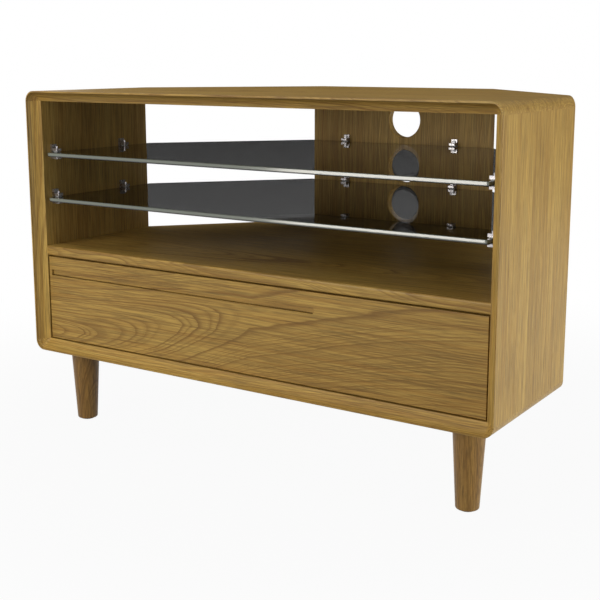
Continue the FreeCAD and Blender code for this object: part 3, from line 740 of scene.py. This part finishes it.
def softbox(name, azimuth, elevation, distance, size, power, colour="#FFFFFF"):
    """A square area lamp aimed at the cabinet; azimuth 0 is in front of it, 90 to its right."""
    data = bpy.data.lights.new(name, "AREA")
    data.shape = "RECTANGLE"
    data.size, data.size_y = size
    data.energy = power
    data.color = linear(colour)[:3]
    lamp = bpy.data.objects.new(name, data)
    a, e = math.radians(azimuth), math.radians(elevation)
    way = Vector((math.sin(a) * math.cos(e), -math.cos(a) * math.cos(e), math.sin(e)))
    middle = Vector((0, 0, cad_box[1].z / 2))
    lamp.location = middle + way * distance
    lamp.rotation_euler = (-way).to_track_quat("-Z", "Y").to_euler()
    bpy.context.scene.collection.objects.link(lamp)
    return lamp


softbox("right_softbox", 90, 4, 2.2, (1.4, 0.8), 27)
softbox("front_softbox", -16, 17, 3.0, (1.5, 1.5), 50, "#FFFAF2")
softbox("top_softbox", -60, 74, 2.6, (2.0, 2.0), 20)
rear_softbox = softbox("rear_softbox", 180, 30, 3.2, (2.0, 1.6), 12)
rear_softbox.visible_glossy = False


def seen_as_backdrop(tree):
    """1 for the rays that should meet a plain white studio: the eye's, a mirror's and glass's."""
    path = add(tree, "ShaderNodeLightPath").outputs
    through = path["Is Transmission Ray"]
    seen = add(tree, "ShaderNodeMath", {"operation": "MAXIMUM"}, {0: path["Is Camera Ray"], 1: through})
    return add(tree, "ShaderNodeMath", {"operation": "MAXIMUM"}, {0: seen, 1: path["Is Glossy Ray"]})


def studio_world():
    """White to look at, and a weak even fill for everything else."""
    world = bpy.data.worlds.new("studio")
    bpy.context.scene.world = world
    world.use_nodes = True
    sky = world.node_tree
    sky.nodes.clear()
    fill_strength = 0.12
    fill = add(sky, "ShaderNodeBackground", inputs={"Color": (1, 1, 1, 1), "Strength": fill_strength})
    white = add(sky, "ShaderNodeBackground", inputs={"Color": (1, 1, 1, 1), "Strength": 1.0})
    mixed = add(sky, "ShaderNodeMixShader", inputs={0: seen_as_backdrop(sky), 1: fill, 2: white})
    add(sky, "ShaderNodeOutputWorld", inputs={"Surface": mixed})


def stage_plane(name, corners, material):
    """A flat sheet that belongs to the studio, not to the cabinet."""
    mesh = bpy.data.meshes.new(name)
    mesh.from_pydata(corners, [], [(0, 1, 2, 3)])
    mesh.materials.append(material)
    sheet = bpy.data.objects.new(name, mesh)
    bpy.context.scene.collection.objects.link(sheet)
    return sheet


def studio_floor():
    """Matt painted floor: plain white to the eye, with the cabinet's soft shadow kept on it."""
    material, tree, output = new_material("matt_white_studio_floor")
    paint = add(tree, "ShaderNodeBsdfDiffuse", inputs={"Color": linear("#868686")})
    glow = add(tree, "ShaderNodeEmission", inputs={"Color": (1, 1, 1, 1), "Strength": 1.0})
    place = add(tree, "ShaderNodeTexCoord").outputs["Object"]
    away = add(tree, "ShaderNodeVectorMath", {"operation": "LENGTH"}, {0: place}).outputs["Value"]
    # the share of plain white grows from near the cabinet to the open floor, in metres
    near, far, near_share = 0.5, 1.5, 0.95
    fade = add(
        tree,
        "ShaderNodeMapRange",
        {"interpolation_type": "SMOOTHSTEP"},
        {"Value": away, "From Min": near, "From Max": far, "To Min": near_share, "To Max": 1.0},
    )
    share = add(tree, "ShaderNodeMath", {"operation": "MULTIPLY"}, {0: seen_as_backdrop(tree), 1: fade})
    mixed = add(tree, "ShaderNodeMixShader", inputs={0: share, 1: paint, 2: glow})
    tree.links.new(mixed.outputs[0], output.inputs["Surface"])
    reach = 12.0
    corners = [(-reach, -reach, 0), (reach, -reach, 0), (reach, reach, 0), (-reach, reach, 0)]
    stage_plane("floor", corners, material)


def dark_flag():
    """A dark card behind the cabinet that only mirror-like surfaces see, as a studio sets one up
    so that glass shelves and a lacquered top don't mirror the white backdrop."""
    material, tree, output = new_material("matt_black_flag_card")
    paint = add(tree, "ShaderNodeBsdfDiffuse", inputs={"Color": linear("#2A2A2A")})
    tree.links.new(paint.outputs[0], output.inputs["Surface"])
    left, right, foot, tall, away = -0.85, 4.0, 0.001, 2.4, 1.7
    corners = [(left, away, foot), (right, away, foot), (right, away, tall), (left, away, tall)]
    turn = Matrix.Rotation(CAMERA_YAW, 4, "Z")
    flag = stage_plane("flag_card", [turn @ Vector(corner) for corner in corners], material)
    flag.visible_camera = False
    flag.visible_diffuse = False
    flag.visible_shadow = False
    flag.visible_transmission = False


studio_world()
studio_floor()
dark_flag()

bpy.context.scene.view_settings.view_transform = "Standard"
